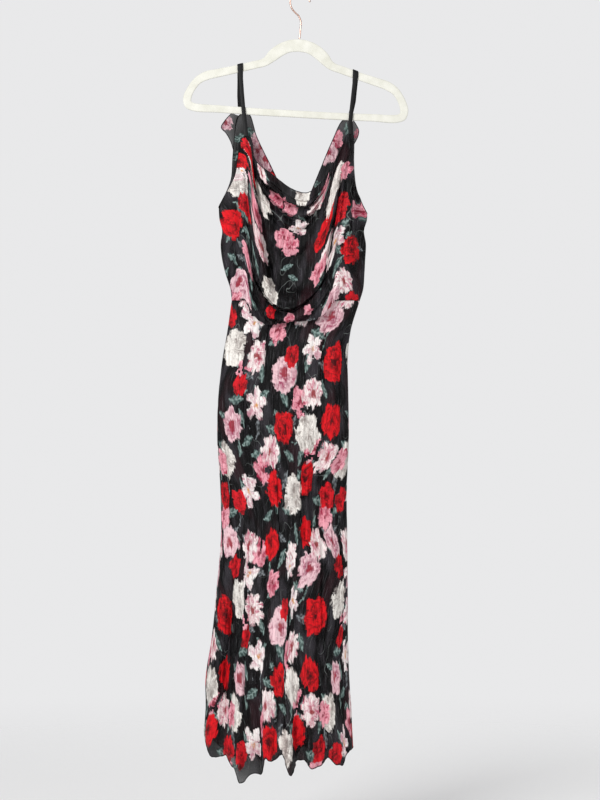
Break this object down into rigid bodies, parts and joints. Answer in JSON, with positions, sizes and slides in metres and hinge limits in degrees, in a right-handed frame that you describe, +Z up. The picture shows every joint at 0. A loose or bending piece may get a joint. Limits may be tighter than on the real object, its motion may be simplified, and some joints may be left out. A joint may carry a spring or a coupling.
{
  "type": "maxi dress on a hanger",
  "caption": "Sleeveless bias-cut maxi dress with a cowl front, a V back, ribbon straps and a floral print, hung on a slim flocked hanger.",
  "frame": {"origin": "inner top of the hook's bend, where the rod or nail that carries the hanger touches it", "axes": "+Z up, +X to the right of someone who looks at the dress's front, -Y out of the front"},
  "size_m": [0.4492, 0.1396, 1.5674],
  "materials": {
    "floral_chiffon": "semi-sheer crinkled chiffon, black with red, pink and white flowers",
    "satin_ribbon": "black satin ribbon, soft sheen",
    "velvet_flock": "ivory velvet flock on a rigid hanger, matt",
    "copper_wire": "copper-plated steel wire, polished"
  },
  "bodies": {
    "root": {"bodice_front": "floral_chiffon", "bodice_back": "floral_chiffon", "skirt_front": "floral_chiffon", "skirt_back": "floral_chiffon", "strap_left": "satin_ribbon", "strap_right": "satin_ribbon", "hanger_body": "velvet_flock", "hanger_hook": "copper_wire"}
  },
  "joints": []
}
